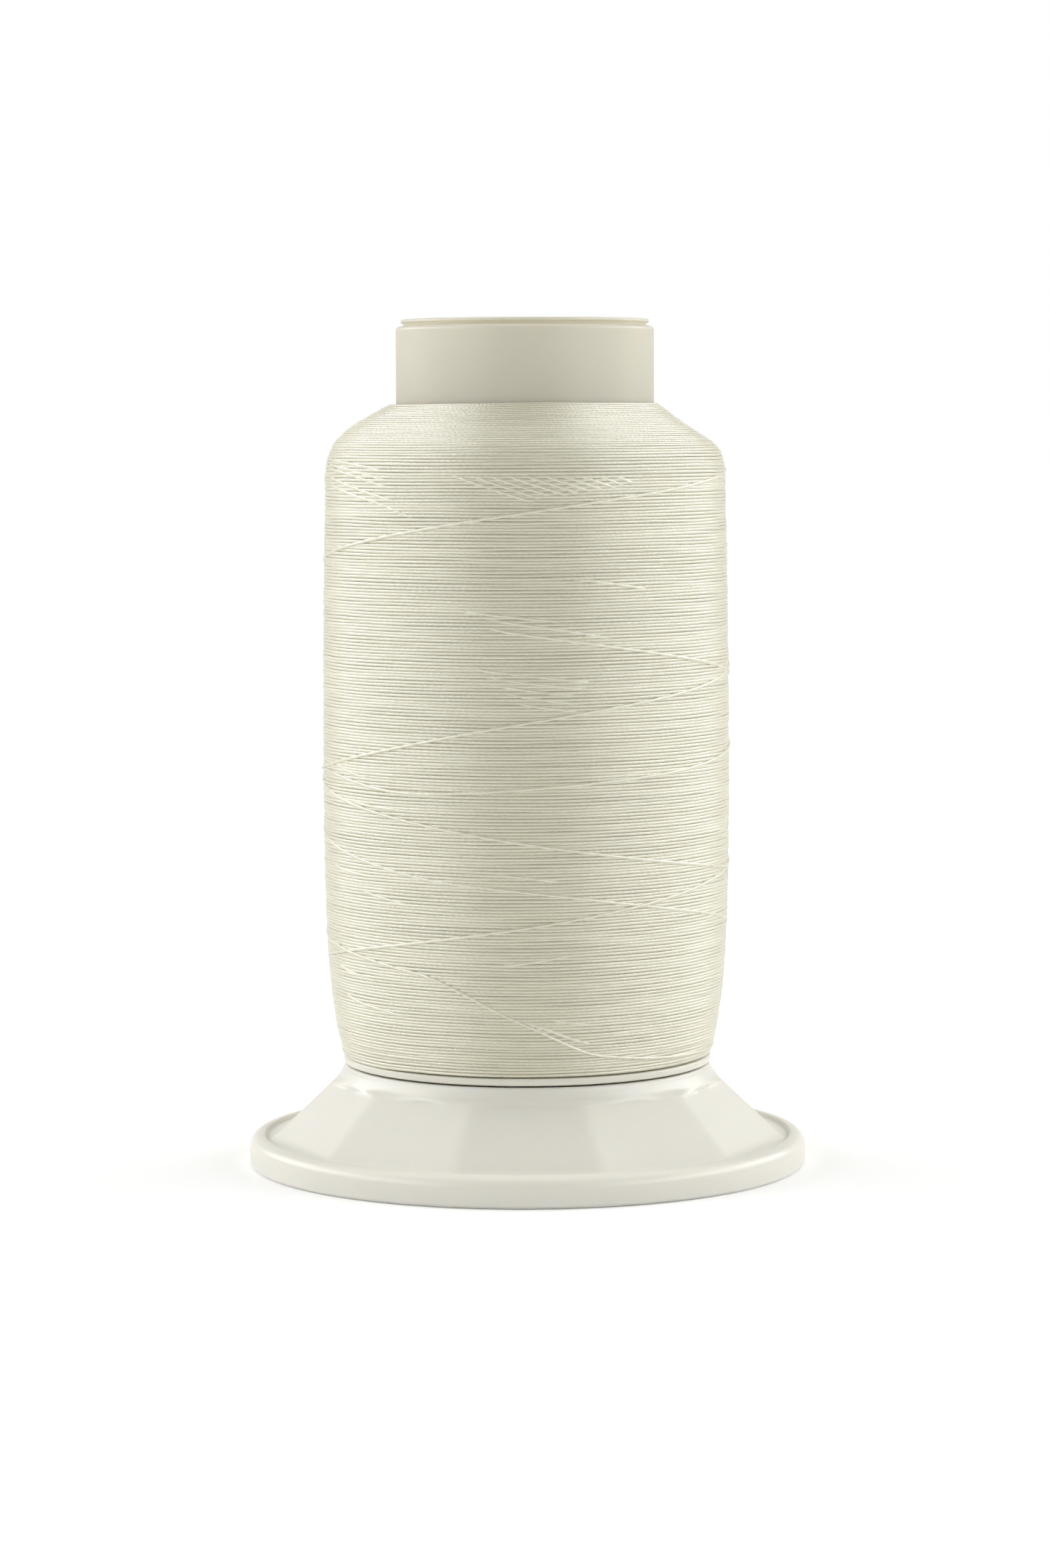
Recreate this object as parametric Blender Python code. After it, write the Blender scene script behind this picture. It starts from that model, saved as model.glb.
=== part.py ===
"""King-size snap spool of thread.

A thin-walled tubular core carries a wound thread package. Its lower end has
four barbed snap fingers, which hold a flared, faceted foot. Pulling the foot
down opens the groove that traps the thread's tail.

Metres, +Z up. The origin is the centre of the face that the foot stands on.
Each turned piece is a list of rings (radius, height), skinned by one function.
"""

import math

import bmesh
import bpy
from mathutils import Vector

MM = 0.001

# ---- driving dimensions, in millimetres ----
TOTAL_HEIGHT = 114.8
TOUCH_GAP = 0.3             # free space left between pieces that touch

# foot
RIM_RADIUS = 38.0
RIM_TOP = 4.2               # height of the rim
RIM_ROUNDING = 1.7          # of its upper edge
RIM_CORNER = 0.6            # of its lower edge
RIM_INSIDE = 34.9
PANEL_COUNT = 11            # flat panels round the skirt
PANEL_BOTTOM = 3.75
PANEL_TOP = 11.6
SKIRT_RADIUS_BOTTOM = 35.3  # over the creases between panels
SKIRT_RADIUS_TOP = 26.9
SKIRT_WALL_ACROSS = 2.6     # the 1.7 mm wall, measured level
CREASE_DEGREES = 1.35       # how far a crease's rounding reaches, to each side of it
COLLAR_RADIUS = 25.0
GROOVE_FLOOR = 12.65        # groove that traps the thread's tail
NECK_RADIUS = 22.3
SOCKET_RADIUS = 20.2        # outside of the socket under the deck
DECK_UNDERSIDE = 10.9

# core
TUBE_RADIUS = 17.45
BORE_RADIUS = 15.95
FINGER_RADIUS = 17.35       # the tube's lower end, inside the socket
CORE_BOTTOM = 2.2
BARB_RADIUS = 18.3
BARB_TOP = 4.6
FLANGE_UNDERSIDE = 14.05
FLANGE_THICKNESS = 1.0
FLANGE_RADIUS = 25.1
SLOT_WIDTH = 3.0
SLOT_TOP = 10.0
SNAP_TRAVEL = 3.5           # how far the foot pulls away before the barbs catch

# thread package, outside of the outer wraps
BARREL_RADIUS = 27.75
BARREL_MIDDLE = 52.0
BARREL_CROWN = 0.6          # fall of the barrel's radius over CROWN_REACH
CROWN_REACH = 43.0
TUCK_DEPTH = 2.6            # how far the bottom draws in
TUCK_LENGTH = 6.0
PACKAGE_BOTTOM = 15.35
SHOULDER_START = 94.6
SHOULDER_CORNER = 97.35     # where barrel and shoulder lines would meet
SHOULDER_TOP = 103.8
SHOULDER_TOP_RADIUS = 17.75

# outer wraps
WRAP_DIAMETER = 0.8         # thicker than the real thread, so that a turn can be modelled
WRAP_TURNS = 24
WRAP_STEPS = 24             # points in one turn

# columns round a turned piece
CORE_COLUMNS = 64
PACKAGE_COLUMNS = WRAP_STEPS    # so that the wraps' straight steps lie along the package's

# ---- dimensions that follow from them ----
FLANGE_TOP = FLANGE_UNDERSIDE + FLANGE_THICKNESS
NECK_TOP = FLANGE_UNDERSIDE - TOUCH_GAP
SOCKET_BORE = FINGER_RADIUS + TOUCH_GAP
RECESS_RADIUS = BARB_RADIUS + 0.35
RECESS_TOP = BARB_TOP + SNAP_TRAVEL + TOUCH_GAP
WRAP_RADIUS = WRAP_DIAMETER / 2
WRAP_DEPTH = WRAP_DIAMETER + TOUCH_GAP
CHORD_REACH = 1 / math.cos(math.pi / WRAP_STEPS)    # corner radius of a wrap, over its inmost


def clear_scene():
    for obj in list(bpy.data.objects):
        bpy.data.objects.remove(obj, do_unlink=True)


def make_material(name, colour, roughness):
    material = bpy.data.materials.new(name)
    material.use_nodes = True
    shader = material.node_tree.nodes["Principled BSDF"]
    shader.inputs["Base Color"].default_value = (*colour, 1.0)
    shader.inputs["Roughness"].default_value = roughness
    shader.inputs["Metallic"].default_value = 0.0
    return material


def add_object(name, mesh, material):
    obj = bpy.data.objects.new(name, mesh)
    bpy.context.scene.collection.objects.link(obj)
    mesh.materials.clear()
    mesh.materials.append(material)
    return obj


def shade_round(mesh, sharp_degrees=18):
    mesh.shade_smooth()
    mesh.set_sharp_from_angle(angle=math.radians(sharp_degrees))


# ---- turned pieces ----

def even_columns(count):
    """Columns (angle, factor) evenly round the axis, from the front, -Y."""
    return [(-math.pi / 2 + 2 * math.pi * column / count, 1.0) for column in range(count)]


def panel_columns():
    """Columns (angle, factor) of the panelled foot: five on each flat, one on each crease.

    A factor is the panelled outline's radius at that angle, over the radius at which the
    flats would meet in a sharp crease. The middle of one panel faces the front, -Y.
    """
    half = math.pi / PANEL_COUNT
    flat = half - math.radians(CREASE_DEGREES)
    rounding = (math.sin(half) - math.cos(half) * math.tan(flat)) / math.tan(half)
    crease_factor = 1 - rounding * (1 / math.cos(half) - 1)
    columns = []
    for panel in range(PANEL_COUNT):
        middle = -math.pi / 2 + 2 * half * panel
        for share in (-1.0, -0.5, 0.0, 0.5, 1.0):
            from_middle = share * flat
            columns.append((middle + from_middle, math.cos(half) / math.cos(from_middle)))
        columns.append((middle + half, crease_factor))
    return columns


def ring_points(radius, height, columns, faceted):
    points = []
    for angle, factor in columns:
        reach = radius * factor if faceted else radius
        points.append(Vector((reach * math.cos(angle), reach * math.sin(angle), height)) * MM)
    return points


def turn(name, rings, columns, material):
    """Skin a closed loop of rings (radius, height, faceted) into one ring-shaped body."""
    mesh = bpy.data.meshes.new(name)
    bm = bmesh.new()
    rows = [[bm.verts.new(point) for point in ring_points(radius, height, columns, faceted)]
            for radius, height, faceted in rings]
    for row, next_row in zip(rows, rows[1:] + rows[:1]):
        for column in range(len(columns)):
            after = (column + 1) % len(columns)
            bm.faces.new((row[column], row[after], next_row[after], next_row[column]))
    bmesh.ops.recalc_face_normals(bm, faces=bm.faces)
    bm.to_mesh(mesh)
    bm.free()
    shade_round(mesh)
    return add_object(name, mesh, material)


def round_section(points):
    """Mark a list of (radius, height) as plain turned rings."""
    return [(radius, height, False) for radius, height in points]


def arc(centre_radius, centre_height, radius, start_degrees, end_degrees, steps):
    """Points (radius, height) on an arc; 0 degrees points outwards, 90 up."""
    points = []
    for step in range(steps + 1):
        angle = math.radians(start_degrees + (end_degrees - start_degrees) * step / steps)
        points.append((centre_radius + radius * math.cos(angle),
                       centre_height + radius * math.sin(angle)))
    return points


# ---- the foot ----

def skirt_radius(height):
    """Radius at which the skirt's flat panels would meet, at a height."""
    fall = (PANEL_TOP - height) / (PANEL_TOP - PANEL_BOTTOM)
    return SKIRT_RADIUS_TOP + (SKIRT_RADIUS_BOTTOM - SKIRT_RADIUS_TOP) * fall


def build_foot(material):
    chamfer = 0.4
    skirt_root = 2.1                        # where the skirt's inside meets the rim's
    deck_corner = DECK_UNDERSIDE - 0.2
    rings = round_section([
        (SOCKET_BORE + TOUCH_GAP, NECK_TOP),
        (NECK_RADIUS - TOUCH_GAP, NECK_TOP),
        (NECK_RADIUS, NECK_TOP - TOUCH_GAP),
        (NECK_RADIUS, GROOVE_FLOOR),
        (COLLAR_RADIUS - chamfer, GROOVE_FLOOR),
        (COLLAR_RADIUS, GROOVE_FLOOR - chamfer),
        (COLLAR_RADIUS, PANEL_TOP + 0.2),
    ])
    rings += [
        (SKIRT_RADIUS_TOP, PANEL_TOP, True),
        (SKIRT_RADIUS_BOTTOM, PANEL_BOTTOM, True),
    ]
    rings += round_section([(SKIRT_RADIUS_BOTTOM + 0.35, PANEL_BOTTOM)])
    rings += round_section(arc(RIM_RADIUS - RIM_ROUNDING, RIM_TOP - RIM_ROUNDING, RIM_ROUNDING,
                               100, 0, 6))
    rings += round_section(arc(RIM_RADIUS - RIM_CORNER, RIM_CORNER, RIM_CORNER, 0, -90, 3))
    rings += round_section([
        (RIM_INSIDE + 0.3, 0.0),
        (RIM_INSIDE, 0.3),
        (RIM_INSIDE, skirt_root - 0.5),
    ])
    rings += [
        (skirt_radius(skirt_root) - SKIRT_WALL_ACROSS, skirt_root, True),
        (skirt_radius(deck_corner) - SKIRT_WALL_ACROSS, deck_corner, True),
    ]
    rings += round_section([
        (SOCKET_RADIUS + 0.3, DECK_UNDERSIDE),
        (SOCKET_RADIUS, DECK_UNDERSIDE - 0.3),
        (SOCKET_RADIUS, 1.5),
        (SOCKET_RADIUS - 0.3, 1.2),
        (RECESS_RADIUS + 0.3, 1.2),
        (RECESS_RADIUS, 1.5),
        (RECESS_RADIUS, RECESS_TOP),
        (SOCKET_BORE, RECESS_TOP + 0.2),
        (SOCKET_BORE, NECK_TOP - TOUCH_GAP),
    ])
    turn("snap_foot", rings, panel_columns(), material)


# ---- the core ----

def slot_cutter(name, turned):
    """A bar right through the tube's lower end: it cuts two facing slots."""
    mesh = bpy.data.meshes.new(name)
    bm = bmesh.new()
    bmesh.ops.create_cube(bm, size=1.0)
    length = 2 * (BARB_RADIUS + 3)
    height = SLOT_TOP - CORE_BOTTOM + 2
    for vert in bm.verts:
        vert.co = Vector((vert.co.x * length, vert.co.y * SLOT_WIDTH,
                          SLOT_TOP + (vert.co.z - 0.5) * height)) * MM
    bm.to_mesh(mesh)
    bm.free()
    cutter = bpy.data.objects.new(name, mesh)
    bpy.context.scene.collection.objects.link(cutter)
    cutter.rotation_euler.z = turned
    cutter.hide_render = True
    cutter.display_type = 'WIRE'
    return cutter


def build_core(material):
    lip_radius = TUBE_RADIUS - 0.65
    lip_groove = TUBE_RADIUS - 1.0
    rings = round_section([
        (BORE_RADIUS, CORE_BOTTOM + 0.3),
        (BORE_RADIUS + 0.3, CORE_BOTTOM),
        (FINGER_RADIUS - 0.2, CORE_BOTTOM),
        (BARB_RADIUS, BARB_TOP - 1.3),
        (BARB_RADIUS, BARB_TOP - 0.5),
        (FINGER_RADIUS, BARB_TOP),
        (FINGER_RADIUS, FLANGE_UNDERSIDE - 0.4),
        (FINGER_RADIUS + 0.4, FLANGE_UNDERSIDE),
        (FLANGE_RADIUS - 0.3, FLANGE_UNDERSIDE),
        (FLANGE_RADIUS, FLANGE_UNDERSIDE + 0.3),
        (FLANGE_RADIUS, FLANGE_TOP - 0.3),
        (FLANGE_RADIUS - 0.3, FLANGE_TOP),
        (TUBE_RADIUS, FLANGE_TOP),
        (TUBE_RADIUS, TOTAL_HEIGHT - 1.6),
        (TUBE_RADIUS - 0.2, TOTAL_HEIGHT - 1.15),
        (TUBE_RADIUS - 0.6, TOTAL_HEIGHT - 0.9),
        (lip_groove, TOTAL_HEIGHT - 0.85),
        (lip_groove, TOTAL_HEIGHT - 0.55),
        (lip_radius, TOTAL_HEIGHT - 0.4),
        (lip_radius, TOTAL_HEIGHT - 0.15),
        (lip_radius - 0.25, TOTAL_HEIGHT),
        (BORE_RADIUS + 0.2, TOTAL_HEIGHT),
        (BORE_RADIUS, TOTAL_HEIGHT - 0.2),
    ])
    core = turn("spool_core", rings, even_columns(CORE_COLUMNS), material)
    for index, turned in enumerate((math.radians(45), math.radians(135))):
        cut = core.modifiers.new(f"slots_{index}", 'BOOLEAN')
        cut.operation = 'DIFFERENCE'
        cut.object = slot_cutter(f"slot_cutter_{index}", turned)


# ---- the thread ----

def barrel_radius(height):
    """Outside of the wound barrel: slightly crowned, drawn in above the flange."""
    crown = BARREL_CROWN * ((height - BARREL_MIDDLE) / CROWN_REACH) ** 2
    tuck = TUCK_DEPTH * math.exp(-(height - PACKAGE_BOTTOM) / TUCK_LENGTH)
    return BARREL_RADIUS - crown - tuck


def package_outline():
    """Outside of the package as (radius, height), from the bottom to the core at the top."""
    tuck_rows = 6
    barrel_rows = 6
    tuck_top = PACKAGE_BOTTOM + 2.5 * TUCK_LENGTH
    heights = [PACKAGE_BOTTOM + (tuck_top - PACKAGE_BOTTOM) * (row / tuck_rows) ** 1.3
               for row in range(tuck_rows)]
    heights += [tuck_top + (SHOULDER_START - tuck_top) * row / barrel_rows
                for row in range(barrel_rows + 1)]
    outline = [Vector((barrel_radius(height), height)) for height in heights]
    start = outline[-1]
    corner = Vector((start.x, SHOULDER_CORNER))
    top = Vector((SHOULDER_TOP_RADIUS, SHOULDER_TOP))
    end = corner + (top - corner).normalized() * (SHOULDER_CORNER - SHOULDER_START)
    corner_rows = 4
    for row in range(1, corner_rows + 1):
        part = row / corner_rows
        outline.append(start.lerp(corner, part).lerp(corner.lerp(end, part), part))
    outline.append(top)
    return outline


def inset_outline(outline, depth):
    """Move an outline inwards along its normals."""
    inset = []
    for index, point in enumerate(outline):
        along = outline[min(index + 1, len(outline) - 1)] - outline[max(index - 1, 0)]
        inward = Vector((-along.y, along.x)).normalized()
        inset.append(point + inward * depth)
    return inset


def cut_at_radius(outline, radius):
    """End an outline where its last stretch reaches a radius."""
    before, last = outline[-2:]
    part = (before.x - radius) / (before.x - last.x)
    return outline[:-1] + [before.lerp(last, part)]


def build_package(material):
    inner_radius = (TUBE_RADIUS + TOUCH_GAP) * CHORD_REACH
    top_edge = 0.5
    outside = cut_at_radius(inset_outline(package_outline(), WRAP_DEPTH), inner_radius + top_edge)
    points = [(inner_radius, PACKAGE_BOTTOM), (outside[0].x - 0.3, PACKAGE_BOTTOM)]
    points += [(point.x, point.y) for point in outside if point.y > PACKAGE_BOTTOM + 0.3]
    points.append((inner_radius, outside[-1].y))
    turn("thread_package", round_section(points), even_columns(PACKAGE_COLUMNS), material)


def point_along(outline, distance):
    for start, end in zip(outline, outline[1:]):
        length = (end - start).length
        if distance <= length:
            return start.lerp(end, distance / length)
        distance -= length
    return outline[-1]


def wrap_route():
    """Centreline of the outer wraps as (angle, radius, height), from the tail to the top.

    The tail starts square to the foot's neck, lies in the groove, passes round
    the flange's edge and becomes the lowest wrap.
    """
    groove_middle = (GROOVE_FLOOR + FLANGE_UNDERSIDE) / 2
    outside_flange = (FLANGE_RADIUS + TOUCH_GAP + WRAP_RADIUS) * CHORD_REACH
    neck_end = NECK_RADIUS + TOUCH_GAP
    back = math.pi / 2
    step_angle = 2 * math.pi / WRAP_STEPS
    tail = [
        (0.0, neck_end, groove_middle),
        (0.0, neck_end + WRAP_DIAMETER, groove_middle),
        (1.2, 24.1, groove_middle),
        (2.2, 24.5, groove_middle),
        (3.2, 25.0, groove_middle + 0.05),
        (4.0, 25.5, groove_middle + 0.3),
        (4.8, outside_flange, groove_middle + 0.9),
        (5.8, outside_flange, groove_middle + 1.7),
        (6.8, outside_flange - 0.3, groove_middle + 2.4),
    ]
    route = [(back + steps * step_angle, radius, height) for steps, radius, height in tail]

    outline = inset_outline(package_outline(), WRAP_RADIUS)
    foot_of_wraps = 1.5
    top_margin = 2.0
    length = sum((end - start).length for start, end in zip(outline, outline[1:]))
    wound = length - foot_of_wraps - top_margin
    first_angle = back + 8 * step_angle
    wraps = WRAP_TURNS * WRAP_STEPS
    for step in range(wraps + 1):
        spot = point_along(outline, foot_of_wraps + wound * step / wraps)
        route.append((first_angle + step * step_angle, spot.x, spot.y))

    last_angle, last_radius, last_height = route[-1]
    tube_end = TUBE_RADIUS + TOUCH_GAP
    route.append((last_angle + 0.7 * step_angle, last_radius - 0.2, last_height + 0.2))
    route.append((last_angle + step_angle, tube_end + WRAP_DIAMETER, last_height + 0.4))
    route.append((last_angle + step_angle, tube_end, last_height + 0.4))
    return route


def least_gap(points, skip):
    """Smallest free space between stretches of the tube at least skip points apart."""
    least = math.inf
    for index, point in enumerate(points):
        for other in points[index + skip:index + skip + 2 * WRAP_STEPS]:
            least = min(least, (point - other).length)
    return least - WRAP_DIAMETER


def build_winding(material):
    points = [Vector((radius * math.cos(angle), radius * math.sin(angle), height))
              for angle, radius, height in wrap_route()]
    print(f"least gap between wraps: {least_gap(points, WRAP_STEPS // 2):.2f} mm")
    curve = bpy.data.curves.new("thread_winding", 'CURVE')
    curve.dimensions = '3D'
    curve.bevel_depth = WRAP_RADIUS * MM
    curve.bevel_resolution = 1
    curve.use_fill_caps = True
    spline = curve.splines.new('POLY')
    spline.points.add(len(points) - 1)
    for target, point in zip(spline.points, points):
        target.co = (*(point * MM), 1.0)
    add_object("thread_winding", curve, material)


def main():
    clear_scene()
    build_foot(make_material("white_plastic", (0.76, 0.75, 0.69), 0.35))
    build_core(make_material("ivory_plastic", (0.62, 0.56, 0.45), 0.4))
    build_package(make_material("wound_thread", (0.60, 0.58, 0.45), 0.6))
    build_winding(make_material("outer_thread", (0.74, 0.73, 0.60), 0.5))


main()
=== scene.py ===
"""King-size snap spool of thread: finished surfaces over its plain solids.

The foot and the core are pulled from rings of edges, as on a lathe. The package is
one long thread, wound turn by turn over a plain bed, with the crossing wraps that a
winding machine leaves on top.
"""

import math
import random

import bmesh
import bpy
from bpy.props import FloatProperty, FloatVectorProperty, IntProperty, PointerProperty
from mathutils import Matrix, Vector, kdtree, noise


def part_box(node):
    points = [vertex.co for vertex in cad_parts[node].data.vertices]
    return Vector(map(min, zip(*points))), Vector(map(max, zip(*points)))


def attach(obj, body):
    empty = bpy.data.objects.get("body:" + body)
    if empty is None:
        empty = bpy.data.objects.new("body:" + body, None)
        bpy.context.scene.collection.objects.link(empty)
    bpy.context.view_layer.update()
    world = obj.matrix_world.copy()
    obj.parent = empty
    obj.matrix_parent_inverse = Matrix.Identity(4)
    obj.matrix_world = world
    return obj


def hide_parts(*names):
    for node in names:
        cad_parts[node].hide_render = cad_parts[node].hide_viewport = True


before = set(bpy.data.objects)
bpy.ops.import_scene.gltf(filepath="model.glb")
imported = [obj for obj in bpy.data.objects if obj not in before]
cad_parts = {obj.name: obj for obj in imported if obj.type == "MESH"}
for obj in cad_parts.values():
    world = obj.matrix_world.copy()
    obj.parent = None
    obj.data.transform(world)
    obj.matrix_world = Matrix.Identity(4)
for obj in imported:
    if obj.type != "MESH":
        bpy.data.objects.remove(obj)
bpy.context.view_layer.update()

bl_info = {
    "name": "Snap Spool of Thread",
    "version": (1, 0, 0),
    "blender": (4, 5, 0),
    "location": "3D Viewport > Sidebar > Spool",
    "description": "Models a king-size snap spool of cream thread",
    "category": "Add Mesh",
}

MM = 0.001
NEAR = 0.001 * MM  # places closer than this count as the same
FOOT_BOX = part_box("snap_foot")
CORE_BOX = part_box("spool_core")


# ---- settings ----

def length(name, description, default):
    """A size in metres."""
    return FloatProperty(name=name, description=description, default=default, min=0.0,
                         precision=5, unit='LENGTH', subtype='DISTANCE')


def linear(code):
    """An sRGB hex colour as linear red, green, blue."""
    values = [int(code[place:place + 2], 16) / 255 for place in (1, 3, 5)]
    return tuple(v / 12.92 if v <= 0.04045 else ((v + 0.055) / 1.055) ** 2.4 for v in values)


def colour(name, description, code):
    """A colour, given as its sRGB hex value."""
    return FloatVectorProperty(name=name, description=description, default=linear(code),
                               min=0.0, max=1.0, size=3, subtype='COLOR')


class FootSettings(bpy.types.PropertyGroup):
    rim_radius: length("Rim Radius", "Outside radius of the rounded rim", FOOT_BOX[1].y)
    rim_height: length("Rim Height", "Thickness of the rounded rim", 4.2 * MM)
    neck_top: length("Neck Top", "Height of the neck that the flange rests on", FOOT_BOX[1].z)
    skirt_bottom: length("Skirt Bottom Radius", "Radius over the creases, at the rim",
                         35.3 * MM)
    skirt_top: length("Skirt Top Radius", "Radius over the creases, at the collar", 26.9 * MM)
    panels: IntProperty(name="Panels", description="Flat panels round the skirt",
                        default=11, min=6, max=24)
    crease: length("Crease Width", "Width of the rounding between two panels", 0.9 * MM)
    plastic: colour("Plastic", "Colour of the white moulding", "#E4E2D8")


class CoreSettings(bpy.types.PropertyGroup):
    tube_radius: length("Tube Radius", "Outside radius of the tube", 17.45 * MM)
    bore_radius: length("Bore Radius", "Inside radius of the tube", 15.95 * MM)
    flange_radius: length("Flange Radius", "Radius of the flange under the thread",
                          CORE_BOX[1].x)
    top: length("Top", "Height of the tube's upper lip", CORE_BOX[1].z)
    bottom: length("Bottom", "Height of the snap fingers' tips", CORE_BOX[0].z)
    plastic: colour("Plastic", "Colour of the ivory moulding", "#E2DFD2")


class ThreadSettings(bpy.types.PropertyGroup):
    diameter: length("Diameter", "Thickness of the thread, drawn a little coarser than real",
                     0.46 * MM)
    pitch: length("Pitch", "Climb of the thread in one turn", 0.425 * MM)
    waver: length("Waver", "How far a wrap strays from its place", 0.13 * MM)
    cream: colour("Cream", "Colour of the thread", "#DCD8BF")


class StudioSettings(bpy.types.PropertyGroup):
    distance: length("Camera Distance", "From the camera to the spool's axis", 0.590)
    height: length("Camera Height", "Height of the camera above the floor", 0.1016)
    lens: FloatProperty(name="Lens", description="Focal length for a 36 mm sensor",
                        default=99.7, min=10.0, unit='CAMERA')
    tilt: FloatProperty(name="Tilt", description="How far the camera looks down",
                        default=math.radians(4.824), unit='ROTATION')
    roll: FloatProperty(name="Roll", description="How far the camera leans to its left",
                        default=math.radians(0.2), unit='ROTATION')
    sides: FloatProperty(name="Side Lamps", description="Power of each side softbox",
                         default=16.7, min=0.0, unit='POWER')
    top: FloatProperty(name="Top Lamp", description="Power of the softbox overhead",
                       default=3.4, min=0.0, unit='POWER')
    ambient: FloatProperty(name="Ambient", description="Strength of the room's light",
                           default=0.04, min=0.0)


# ---- materials ----

def add_node(tree, kind, inputs=None, **settings):
    """Adds a node. Inputs take a value, or another node's output to link from."""
    node = tree.nodes.new(kind)
    for name, value in settings.items():
        setattr(node, name, value)
    for socket, value in (inputs or {}).items():
        if isinstance(value, bpy.types.NodeSocket):
            tree.links.new(value, node.inputs[socket])
        else:
            node.inputs[socket].default_value = value
    return node


def new_material(name):
    """A material with only its output, and that output's surface socket."""
    material = bpy.data.materials.new(name)
    material.use_nodes = True
    material.node_tree.nodes.clear()
    output = material.node_tree.nodes.new("ShaderNodeOutputMaterial")
    return material, material.node_tree, output.inputs["Surface"]


def polyester_thread(name, base):
    """Twisted filament polyester: silky, with fine plies that run askew along it."""
    material, tree, surface = new_material(name)
    place = add_node(tree, "ShaderNodeTexCoord").outputs["Object"]
    axes = add_node(tree, "ShaderNodeSeparateXYZ", {0: place}).outputs
    turn = add_node(tree, "ShaderNodeMath", {0: axes["Y"], 1: axes["X"]}, operation='ARCTAN2')
    # A ply turns once in about 0.9 mm of thread, at the barrel's radius.
    ply_length, wound_radius = 0.9 * MM, 27.3 * MM
    along = add_node(tree, "ShaderNodeMath",
                     {0: turn.outputs[0], 1: 2 * math.pi * wound_radius / ply_length},
                     operation='MULTIPLY')
    across = add_node(tree, "ShaderNodeMath",
                      {0: axes["Z"], 1: 2 * math.pi / ply_length, 2: along.outputs[0]},
                      operation='MULTIPLY_ADD')
    # The thread's tone changes slightly in bands about 1 mm deep and a good part of a
    # turn long. The same noise keeps neighbours' plies out of step, by this many radians.
    most_shift = 40.0
    bands = add_node(tree, "ShaderNodeMapping", {0: place, "Scale": (60, 60, 900)})
    tone = add_node(tree, "ShaderNodeTexNoise",
                    {0: bands.outputs[0], "Scale": 1.0, "Detail": 3.0})
    phase = add_node(tree, "ShaderNodeMath",
                     {0: tone.outputs["Fac"], 1: most_shift, 2: across.outputs[0]},
                     operation='MULTIPLY_ADD')
    plies = add_node(tree, "ShaderNodeMath", {0: phase.outputs[0]}, operation='SINE')
    shade = add_node(tree, "ShaderNodeValToRGB", {0: tone.outputs["Fac"]})
    shade.color_ramp.elements[0].position = 0.35
    shade.color_ramp.elements[1].position = 0.65
    shade.color_ramp.elements[0].color = (*[value * 0.93 for value in base], 1)
    shade.color_ramp.elements[1].color = (*base, 1)
    bump = add_node(tree, "ShaderNodeBump",
                    {"Height": plies.outputs[0], "Strength": 0.35, "Distance": 0.03 * MM})
    # Polyester's IOR is about 1.6. It is raised here, because light also glances off the
    # many filaments inside each ply.
    shader = add_node(tree, "ShaderNodeBsdfPrincipled", {
        "Base Color": shade.outputs["Color"], "Roughness": 0.36, "IOR": 2.0,
        "Specular IOR Level": 1.0, "Coat Weight": 0.5, "Coat Roughness": 0.3,
        "Normal": bump.outputs["Normal"]})
    tree.links.new(shader.outputs[0], surface)
    return material


def moulded_plastic(name, base, roughness, polish, clearness):
    """Injection-moulded polypropylene: waxy, so thin that some light comes through."""
    material, tree, surface = new_material(name)
    place = add_node(tree, "ShaderNodeTexCoord").outputs["Object"]
    # Flow marks about 8 mm long tint the surface. The mould's fine skin dulls it, drawn
    # 0.5 mm coarse so that it shows.
    flow = add_node(tree, "ShaderNodeTexNoise", {0: place, "Scale": 120.0, "Detail": 2.0})
    tint = add_node(tree, "ShaderNodeValToRGB", {0: flow.outputs["Fac"]})
    tint.color_ramp.elements[0].color = (*[value * 0.96 for value in base], 1)
    tint.color_ramp.elements[1].color = (*base, 1)
    skin = add_node(tree, "ShaderNodeTexNoise", {0: place, "Scale": 2000.0, "Detail": 3.0})
    dull = add_node(tree, "ShaderNodeMapRange",
                    {0: skin.outputs["Fac"], 3: roughness - 0.05, 4: roughness + 0.05})
    bump = add_node(tree, "ShaderNodeBump",
                    {"Height": skin.outputs["Fac"], "Strength": 0.08, "Distance": 0.05 * MM})
    shell = add_node(tree, "ShaderNodeBsdfPrincipled", {
        "Base Color": tint.outputs["Color"], "Roughness": dull.outputs[0], "IOR": 1.49,
        "Coat Weight": polish, "Coat Roughness": 0.25,
        "Subsurface Weight": 0.4, "Subsurface Radius": (1.0, 0.8, 0.5),
        "Subsurface Scale": 1.5 * MM, "Normal": bump.outputs["Normal"]})
    # Only the bare wall above the thread has light on its far side.
    bare_from, bare_over = 90 * MM, 100 * MM
    height = add_node(tree, "ShaderNodeSeparateXYZ", {0: place}).outputs["Z"]
    bare = add_node(tree, "ShaderNodeMapRange",
                    {0: height, 1: bare_from, 2: bare_over, 4: clearness})
    through = add_node(tree, "ShaderNodeBsdfTranslucent", {"Color": tint.outputs["Color"]})
    mixed = add_node(tree, "ShaderNodeMixShader",
                     {0: bare.outputs[0], 1: shell.outputs[0], 2: through.outputs[0]})
    tree.links.new(mixed.outputs[0], surface)
    return material


# ---- modelling by hand ----

def select_none():
    """Leaves edit mode and deselects every object."""
    if bpy.context.object and bpy.context.object.mode != 'OBJECT':
        bpy.ops.object.mode_set(mode='OBJECT')
    bpy.ops.object.select_all(action='DESELECT')


def select_edges(wanted):
    """In edit mode, selects the edges for which wanted(first corner, second corner) is true."""
    obj = bpy.context.edit_object
    mesh = bmesh.from_edit_mesh(obj.data)
    bpy.ops.mesh.select_all(action='DESELECT')
    bpy.context.tool_settings.mesh_select_mode = (False, True, False)
    for edge in mesh.edges:
        edge.select = bool(wanted(edge.verts[0].co, edge.verts[1].co))
    mesh.select_flush_mode()
    bmesh.update_edit_mesh(obj.data)


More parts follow.
